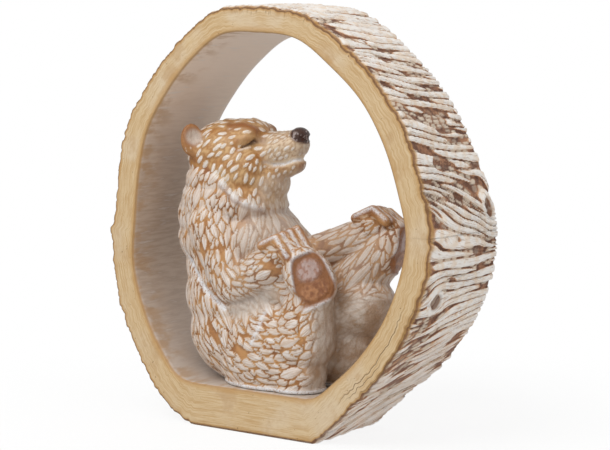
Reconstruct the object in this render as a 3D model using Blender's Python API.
"""A resin ornament: a bear cub sits inside a hollow slice of log and holds its two hind feet.

The log slice is a ring of thin wood with bark round the outside. It is cut flat underneath, so it
stands up, and its inside is levelled into a floor. The cub is one casting that sits on that floor.
Metres, +Z up, the ring's axis along Y with its front face at -Y. The origin is on the flat
underside, below the middle of the ring, and the cub looks towards +X.
"""

import math

import bmesh
import bpy
import numpy as np
from mathutils import Euler, Matrix, Vector

# The log slice.
LOG_WIDTH = 0.170
LOG_HEIGHT = 0.1795
LOG_DEPTH = 0.048
HEART_X = -0.00165
WALL_SIDE = 0.0115
WALL_TOP = 0.0095
WALL_LOW = 0.0135
WALL_TOP_TAPER = 0.0015
FLOOR_THICKNESS = 0.0185
FLOOR_CORNER = 0.006
BACK_SWELL = 0.0022
BARK_PLATE_WIDTH = 0.0042
BARK_PLATE_LENGTH = 0.026
BARK_RELIEF = 0.0016
BARK_SEED = 11

# The cub, and how it sits.
BEAR_HEIGHT = 0.1155
SEAT_X = -0.016
SEAT_GAP = 0.0003
LOCK_LENGTH = 0.0090
LOCK_WIDTH = 0.0048
LOCK_RELIEF = 0.0012
FUR_SEED = 5

# How finely the solids are faceted.
AROUND_BARK = 384
AROUND_HOLLOW = 96
ROWS_ACROSS = 3
VOXEL = 0.0012
BEAR_TRIANGLES = 6200

# The log's outline as it grew, before its underside is cut flat: the distance from its heart every
# 15 degrees from +X towards +Z, as a share of half its width. The heart is half way up, and its own
# place along X brings the origin below the middle of the whole width.
LOG_SHARES = (
    1.000, 0.976, 0.978, 0.992, 1.006, 1.050, 1.053, 1.075, 1.033, 1.000, 0.988, 0.962,
    0.962, 1.012, 1.050, 1.095, 1.141, 1.130, 1.120, 1.108, 1.022, 0.993, 0.986, 0.990,
)

# The cub is carved in its own unit, which is this share of its height. Its own axes start on the
# floor under its seat: x forward, y to its left, z up.
BEAR_UNITS_TALL = 115.5
UNIT = BEAR_HEIGHT / BEAR_UNITS_TALL
HEAD_PLACE = (-16.5, 0, 97.5)
HEAD_TURN = math.radians(6)
HEAD_LIFT = math.radians(6)


def periodic(values, angle):
    """A smooth closed curve through evenly spaced values, read at an angle."""
    place = (angle / (2 * math.pi)) % 1.0 * len(values)
    first = int(place) % len(values)
    t = place - int(place)
    a, b, c, d = (values[(first + k) % len(values)] for k in (-1, 0, 1, 2))
    return b + 0.5 * t * (c - a + t * (2 * a - 5 * b + 4 * c - d + t * (3 * (b - c) + d - a)))


def heart():
    """The point (x, z) that the outline is measured from."""
    return Vector((HEART_X, LOG_HEIGHT / 2))


def grown_outline(angle, across):
    """A point (x, z) of the log as it grew. across runs from 0, the front face, to 1, the back."""
    share = periodic(LOG_SHARES, angle)
    swell = BACK_SWELL * across * math.cos(3 * angle + math.radians(45))
    top_fit = LOG_HEIGHT / 2 / periodic(LOG_SHARES, math.pi / 2)
    x = (share * LOG_WIDTH / 2 + swell) * math.cos(angle)
    z = (share * top_fit + swell) * math.sin(angle)
    return Vector((x, z)) + heart()


def inward(angle, across):
    """The unit direction into the wood, at right angles to the outline."""
    step = 0.02
    along = grown_outline(angle + step, across) - grown_outline(angle - step, across)
    return Vector((-along.y, along.x)).normalized()


def wall(angle, across):
    """The thickness of the wall: thinner at the crown, thicker low down."""
    rise = math.sin(angle)
    other = WALL_TOP + WALL_TOP_TAPER * across if rise > 0 else WALL_LOW
    return WALL_SIDE + (other - WALL_SIDE) * rise * rise


def bark_point(angle, across, relief):
    """A point on the bark. The underside is sawn flat."""
    x, z = grown_outline(angle, across) - inward(angle, across) * relief
    return Vector((x, max(z, 0.0)))


def hollow_point(angle, across):
    """A point on the inside of the ring, whose low part is levelled into the floor."""
    x, z = grown_outline(angle, 0) + inward(angle, 0) * wall(angle, across)
    near = max(0.0, 1 - abs(z - FLOOR_THICKNESS) / FLOOR_CORNER)
    return Vector((x, max(z, FLOOR_THICKNESS) + near * near * FLOOR_CORNER / 4))


def bark_plates():
    """The bark's long plates: a point (distance round the log, distance across it) for each."""
    chance = np.random.default_rng(BARK_SEED)
    girth = math.pi * (LOG_WIDTH + LOG_HEIGHT) / 2
    columns = round(girth / BARK_PLATE_WIDTH)
    rows = max(1, round(LOG_DEPTH / BARK_PLATE_LENGTH))
    plates = []
    for column in range(columns):
        start = chance.uniform(-0.5, 0.5)
        for row in range(-1, rows + 1):
            along = (column + chance.uniform(-0.3, 0.3)) / columns
            plates.append((along * girth, (row + 0.5 + start) * LOG_DEPTH / rows))
    return np.array(plates), girth


def bark_relief(angle, across, plates, girth):
    """How far the bark stands out: full on a plate, nothing in a crack between two plates."""
    lean = 0.0016 * math.sin(5 * angle) * (across - 0.5)
    here = np.array((angle / (2 * math.pi) % 1.0 * girth + lean, across * LOG_DEPTH))
    away = plates - here
    away[:, 0] -= girth * np.round(away[:, 0] / girth)
    reach = np.hypot(away[:, 0] / BARK_PLATE_WIDTH, away[:, 1] / BARK_PLATE_LENGTH)
    nearest, second = np.partition(reach, 1)[:2]
    return BARK_RELIEF * min(1.0, 2.2 * (second - nearest))


def link_object(name, mesh):
    obj = bpy.data.objects.new(name, mesh)
    bpy.context.scene.collection.objects.link(obj)
    return obj


def bridge(bm, first, second):
    """Joins two closed rings of points, of any counts that divide evenly, with faces."""
    many, few = (first, second) if len(first) >= len(second) else (second, first)
    step = len(many) // len(few)
    for k, corner in enumerate(few):
        after = few[(k + 1) % len(few)]
        fan = [many[(k * step + j) % len(many)] for j in range(step + 1)]
        half = step // 2
        for j in range(step):
            tip = corner if j < half or step == 1 else after
            bm.faces.new((fan[j], fan[j + 1], tip))
        bm.faces.new((fan[half if step > 1 else 1], after, corner))


def log_ring():
    """The hollow slice of log: bark outside, a smooth hollow inside, and two sawn faces."""
    plates, girth = bark_plates()
    bm = bmesh.new()

    def ring(count, across, point):
        y = (across - 0.5) * LOG_DEPTH
        angles = [2 * math.pi * k / count for k in range(count)]
        return [bm.verts.new((p.x, y, p.y)) for p in (point(a, across) for a in angles)]

    def bark(angle, across):
        return bark_point(angle, across, bark_relief(angle, across, plates, girth))

    shares = [k / ROWS_ACROSS for k in range(ROWS_ACROSS + 1)]
    outside = [ring(AROUND_BARK, share, bark) for share in shares]
    inside = [ring(AROUND_HOLLOW, share, hollow_point) for share in (0.0, 0.5, 1.0)]
    for rings in (outside, inside):
        for first, second in zip(rings, rings[1:]):
            bridge(bm, first, second)
    bridge(bm, outside[0], inside[0])
    bridge(bm, outside[-1], inside[-1])
    bmesh.ops.recalc_face_normals(bm, faces=bm.faces)
    mesh = bpy.data.meshes.new("log_ring")
    bm.to_mesh(mesh)
    bm.free()
    mesh.shade_smooth()
    mesh.set_sharp_from_angle(angle=math.radians(50))
    return link_object("log_ring", mesh)


def head_matrix():
    """From the head's own axes (x to the nose, y to its left ear, z to the crown) to the cub's."""
    turn = Euler((0, -HEAD_LIFT, HEAD_TURN)).to_matrix().to_4x4()
    return Matrix.Translation(HEAD_PLACE) @ turn


# Balls are (centre, radii, turn in degrees, way the fur lies). Limbs are (start, end, start radius,
# end radius, way the fur lies). All are in the cub's unit.
BODY_BALLS = (
    ((-6, 0, 22), (30.5, 22.5, 24), (0, 0, 0), (0.3, 0, -1)),
    ((-9, 0, 37), (30, 22.5, 23), (0, 0, 0), (0.1, 0, -1)),
    ((17, -9, 45), (13, 10.5, 13), (0, 0, 0), (1, 0, 0)),
    ((3, 0, 40), (28, 19, 25), (0, 0, 0), (0.1, 0, -1)),
    ((-11, 0, 50), (28.5, 20, 24), (0, 0, 0), (0, 0, -1)),
    ((-13.5, 0, 61), (30.5, 21, 17), (0, 0, 0), (0, 0, -1)),
    ((-22, 0, 71), (21.5, 19, 16), (0, 0, 0), (0, 0, -1)),
    ((-16.5, 0, 78), (24.5, 21, 15), (0, 0, 0), (-0.1, 0, -1)),
    ((-17, 0, 87), (21.5, 19.5, 13), (0, 0, 0), (-0.2, 0, -1)),
    ((10, -9, 17), (28, 15, 25), (0, 0, 0), (1, 0, 0)),
    ((30, 11, 18), (21, 12.5, 21), (0, 0, 0), (1, 0, 0.3)),
)
LIMBS = (
    ((-17, -12.5, 68), (-3, -14.5, 43), 12, 10, (0.1, 0, -1)),
    ((-3, -14.5, 43), (18, -15.5, 54), 10, 8, (1, 0, 0.5)),
    ((28, -9, 21), (33, -10, 42), 14, 9.5, (0, 0, -1)),
    ((-10, 12, 68), (10, 13.5, 52), 12, 10, (0.5, 0, -0.9)),
    ((10, 13.5, 50), (44, 14, 64.5), 10.5, 8.3, (1, 0, 0.5)),
    ((12, 8, 26), (47, 11, 35), 16, 13, (1, 0, 0.3)),
    ((38, 12, 42), (54, 15, 60), 12, 9.5, (0.6, 0, 0.8)),
)
PAWS = (
    ((23, -17, 60), (8.5, 7, 6.5), (0, -30, 0), (1, 0, 0.3)),
    ((35, -14, 49.5), (8, 10, 14), (34, -7, -45), (0, 0, 1)),
    ((49, 14, 70.5), (9, 8, 7.5), (0, -20, 0), (1, 0, 0.2)),
    ((57, 15, 60), (8, 9, 13), (0, 20, 10), (0, 0, 1)),
)
# Each forepaw has four toes that hook over the hind foot. These are the root, the bend and the tip
# of the first toe and of the last one.
TOE_RADIUS = 2.5
TOES = (
    (((16, -22, 62), (24, -22.5, 65.5), (29.5, -22, 57.5)),
     ((21, -11.5, 65), (27, -12, 68.5), (32.5, -12, 61))),
    (((43, 8, 73), (52, 8, 77), (58.5, 8, 72.5)),
     ((43, 20, 71), (52, 20, 75), (58.5, 20, 70.5))),
)
# Each hind foot has a flat sole: a point in it, the way it faces and how wide it is pressed.
SOLES = (
    ((38.2, -17.2, 50), (0.70, -0.70, 0.12), 17),
    ((62, 16, 60), (0.94, 0.2, -0.2), 15),
)
HEAD_BALLS = (
    ((-1, 0, 1.5), (20.5, 18, 15), (0, 0, 0), (-1, 0, 0)),
    ((8, 0, 5.5), (12, 13.5, 10.5), (0, 0, 0), (-1, 0, 0.2)),
    ((11, 7, 7.5), (7, 6, 5.5), (0, 0, 0), (-1, 0, 0.2)),
    ((11, -7, 7.5), (7, 6, 5.5), (0, 0, 0), (-1, 0, 0.2)),
    ((4, 8, -6), (16, 10.5, 13), (0, 0, 0), (-1, 0, -0.8)),
    ((4, -8, -6), (16, 10.5, 13), (0, 0, 0), (-1, 0, -0.8)),
    ((12, 0, -12), (13.5, 13, 12), (0, 0, 0), (-1, 0, -0.8)),
    ((34.3, 0, 5.8), (4, 5, 4), (0, 0, 0), (-1, 0, 0)),
    ((-11.5, 15, 9), (3.4, 6, 7), (0, 0, 40), (0, 0, 1)),
    ((-11.5, -15, 9), (3.4, 6, 7), (0, 0, -40), (0, 0, 1)),
)
HEAD_LIMBS = (
    ((15, 0, 0), (32, 0, 2.8), 9.5, 6.0, (-1, 0, -0.4)),
    ((10, 0, -8), (31, 0, -5.2), 8.5, 4.6, (-1, 0, -0.6)),
)


def toe_limbs():
    """Two short limbs for each toe, root to bend and bend to tip."""
    rows = []
    for first, last in TOES:
        for share in (0, 1 / 3, 2 / 3, 1):
            root, bend, tip = (Vector(a).lerp(Vector(b), share) for a, b in zip(first, last))
            for start, end in ((root, bend), (bend, tip)):
                rows.append((start, end, TOE_RADIUS, TOE_RADIUS, end - start))
    return rows


def all_forms():
    """Every ball and limb, with the matrix that brings it to the cub's own axes."""
    head = head_matrix()
    body = Matrix.Identity(4)
    balls = [(row, body) for row in BODY_BALLS + PAWS] + [(row, head) for row in HEAD_BALLS]
    limbs = [(row, body) for row in LIMBS] + [(row, head) for row in HEAD_LIMBS]
    return balls, limbs + [(row, body) for row in toe_limbs()]


def add_ball(bm, centre, radii, turn, frame):
    degrees = [math.radians(t) for t in turn]
    place = frame @ Matrix.Translation(centre) @ Euler(degrees).to_matrix().to_4x4()
    shape = place @ Matrix.Diagonal((*radii, 1))
    bmesh.ops.create_uvsphere(bm, u_segments=24, v_segments=14, radius=1, matrix=shape)


def add_limb(bm, start, end, start_radius, end_radius, frame):
    """Two balls and the skin stretched over them."""
    made = []
    for centre, radius in ((start, start_radius), (end, end_radius)):
        place = frame @ Matrix.Translation(centre)
        ball = bmesh.ops.create_uvsphere(
            bm, u_segments=20, v_segments=12, radius=radius, matrix=place)
        made += ball["verts"]
    hull = bmesh.ops.convex_hull(bm, input=made, use_existing_faces=False)
    spare = set(hull["geom_interior"] + hull["geom_unused"])
    spare = [v for v in spare if isinstance(v, bmesh.types.BMVert)]
    bmesh.ops.delete(bm, geom=spare, context="VERTS")


def seat_matrix():
    """From the cub's unit to metres, set down on the floor of the ring."""
    floor = FLOOR_THICKNESS + SEAT_GAP
    return Matrix.Translation((HEART_X + SEAT_X, 0, floor)) @ Matrix.Scale(UNIT, 4)


def bear_lump():
    """All the cub's forms as overlapping solids."""
    bm = bmesh.new()
    balls, limbs = all_forms()
    for (centre, radii, turn, _), frame in balls:
        add_ball(bm, centre, radii, turn, frame)
    for (start, end, start_radius, end_radius, _), frame in limbs:
        add_limb(bm, start, end, start_radius, end_radius, frame)
    bmesh.ops.transform(bm, matrix=seat_matrix(), verts=bm.verts)
    mesh = bpy.data.meshes.new("bear")
    bm.to_mesh(mesh)
    bm.free()
    return mesh


def apply_modifiers(obj):
    """Turns the object's modifiers into plain mesh."""
    whole = obj.evaluated_get(bpy.context.evaluated_depsgraph_get())
    mesh = bpy.data.meshes.new_from_object(whole)
    old = obj.data
    obj.modifiers.clear()
    obj.data = mesh
    bpy.data.meshes.remove(old)
    mesh.name = obj.name


def fuse_forms(obj):
    """Melts the overlapping solids into one skin."""
    fuse = obj.modifiers.new("fuse", "REMESH")
    fuse.mode = "VOXEL"
    fuse.voxel_size = VOXEL
    soften = obj.modifiers.new("soften", "SMOOTH")
    soften.factor = 0.5
    soften.iterations = 7
    apply_modifiers(obj)


def read_points(mesh, field):
    values = np.empty(len(mesh.vertices) * 3)
    mesh.vertices.foreach_get(field, values)
    return values.reshape(-1, 3)


def fur_flow(points):
    """The way the fur lies at each point: the nearest forms' own ways, mixed."""
    to_metres = seat_matrix()
    balls, limbs = all_forms()
    total = np.zeros_like(points)
    for (centre, radii, _, way), frame in balls:
        middle = np.array(to_metres @ frame @ Vector(centre))
        size = sum(radii) / 3 * UNIT
        away = np.linalg.norm(points - middle, axis=1) / size
        total += np.array(frame.to_3x3() @ Vector(way)) / (away ** 8)[:, None]
    for (start, end, start_radius, end_radius, way), frame in limbs:
        a = np.array(to_metres @ frame @ Vector(start))
        b = np.array(to_metres @ frame @ Vector(end))
        t = np.clip((points - a) @ (b - a) / ((b - a) @ (b - a)), 0, 1)
        size = (start_radius + (end_radius - start_radius) * t) * UNIT
        away = np.linalg.norm(points - a - t[:, None] * (b - a), axis=1) / size
        total += np.array(frame.to_3x3() @ Vector(way)) / (away ** 8)[:, None]
    return total


def scatter(points, spacing, seed):
    """Picks points at least the spacing apart."""
    chance = np.random.default_rng(seed)
    order = chance.permutation(len(points))
    taken = {}
    picked = []
    for index in order:
        place = points[index]
        cell = tuple(np.floor(place / spacing).astype(int))
        around = [taken.get((cell[0] + i, cell[1] + j, cell[2] + k))
                  for i in (-1, 0, 1) for j in (-1, 0, 1) for k in (-1, 0, 1)]
        near = [p for p in around if p is not None]
        if all(np.linalg.norm(place - p) > spacing for p in near):
            taken[cell] = place
            picked.append(index)
    return np.array(picked)


def fur_relief(points, normals):
    """How far the carved locks stand out: full at the middle of a lock, nothing between locks."""
    flow = fur_flow(points)
    flow -= normals * np.sum(flow * normals, axis=1)[:, None]
    flow /= np.linalg.norm(flow, axis=1)[:, None] + 1e-12
    picked = scatter(points, LOCK_WIDTH, FUR_SEED)
    relief = np.zeros(len(points))
    for index in picked:
        away = points - points[index]
        close = np.flatnonzero(np.abs(away).max(axis=1) < LOCK_LENGTH)
        away = away[close]
        along = away @ flow[index]
        sideways = away @ np.cross(normals[index], flow[index])
        reach = (2 * along / LOCK_LENGTH) ** 2 + (2 * sideways / LOCK_WIDTH) ** 2
        height = 1.5 * (1 - reach) + 0.5 * along / LOCK_LENGTH
        relief[close] = np.maximum(relief[close], height)
    return np.clip(relief, 0, 1)


def on_sole(points, centre, way, reach):
    """For each point: how far it stands in front of a sole, and whether it is part of that foot."""
    middle = np.array(seat_matrix() @ Vector(centre))
    way = np.array(Vector(way).normalized())
    ahead = (points - middle) @ way
    aside = points - middle - ahead[:, None] * way
    return ahead, way, np.linalg.norm(aside, axis=1) < reach * UNIT


def press_soles(mesh):
    """Flattens the soles of the hind feet."""
    points = read_points(mesh, "co")
    for centre, way, reach in SOLES:
        ahead, way, near = on_sole(points, centre, way, reach)
        points -= (np.maximum(ahead, 0) * near)[:, None] * way
    mesh.vertices.foreach_set("co", points.ravel())
    mesh.update()


def carve_fur(mesh):
    """Raises the locks of fur. The soles and the nose have none."""
    points = read_points(mesh, "co")
    normals = read_points(mesh, "normal")
    relief = fur_relief(points, normals)
    for centre, way, reach in SOLES:
        ahead, way, near = on_sole(points, centre, way, reach)
        relief[near & (ahead > -0.4 * UNIT) & (normals @ way > 0.9)] = 0
    points += normals * (relief[:, None] * LOCK_RELIEF)
    mesh.vertices.foreach_set("co", points.ravel())
    mesh.update()


def keep_clear(mesh):
    """Draws in whatever would come nearer to the inside of the ring than the gap."""
    angles = [2 * math.pi * k / AROUND_HOLLOW for k in range(AROUND_HOLLOW)]
    middle = np.array(heart())
    inside = np.array([hollow_point(a, 1)[:] for a in angles]) - middle
    turn = np.arctan2(inside[:, 1], inside[:, 0])
    order = np.argsort(turn)
    reach = np.hypot(*inside.T)[order] - SEAT_GAP
    points = read_points(mesh, "co")
    away = points[:, [0, 2]] - middle
    limit = np.interp(np.arctan2(away[:, 1], away[:, 0]), turn[order], reach, period=2 * math.pi)
    shrink = np.minimum(1, limit / np.hypot(*away.T))
    points[:, [0, 2]] = middle + away * shrink[:, None]
    mesh.vertices.foreach_set("co", points.ravel())
    mesh.update()


def flatten_seat(mesh):
    """Cuts the underside flat at the height of the floor."""
    bm = bmesh.new()
    bm.from_mesh(mesh)
    everything = bm.verts[:] + bm.edges[:] + bm.faces[:]
    floor = (0, 0, FLOOR_THICKNESS + SEAT_GAP)
    cut = bmesh.ops.bisect_plane(
        bm, geom=everything, plane_co=floor, plane_no=(0, 0, 1), clear_inner=True)
    rim = [e for e in cut["geom_cut"] if isinstance(e, bmesh.types.BMEdge)]
    bmesh.ops.holes_fill(bm, edges=rim, sides=0)
    bmesh.ops.triangulate(bm, faces=bm.faces)
    bmesh.ops.recalc_face_normals(bm, faces=bm.faces)
    bm.to_mesh(mesh)
    bm.free()


def facet(obj, triangles):
    """Brings the triangles down to the number wanted."""
    thin = obj.modifiers.new("facet", "DECIMATE")
    thin.ratio = triangles / sum(face.loop_total - 2 for face in obj.data.polygons)
    apply_modifiers(obj)


def bear():
    """The cub, in one casting, with its fur carved in locks."""
    obj = link_object("bear", bear_lump())
    fuse_forms(obj)
    press_soles(obj.data)
    carve_fur(obj.data)
    keep_clear(obj.data)
    facet(obj, BEAR_TRIANGLES)
    keep_clear(obj.data)
    flatten_seat(obj.data)
    obj.data.shade_smooth()
    return obj


def paint(obj, name, colour, roughness):
    material = bpy.data.materials.new(name)
    material.use_nodes = True
    shader = material.node_tree.nodes["Principled BSDF"]
    shader.inputs["Base Color"].default_value = (*colour, 1)
    shader.inputs["Roughness"].default_value = roughness
    material.diffuse_color = (*colour, 1)
    obj.data.materials.append(material)


def clear_scene():
    for obj in list(bpy.data.objects):
        bpy.data.objects.remove(obj)


def main():
    clear_scene()
    paint(log_ring(), "log_resin", (0.72, 0.58, 0.40), 0.55)
    paint(bear(), "bear_resin", (0.62, 0.42, 0.24), 0.45)


main()
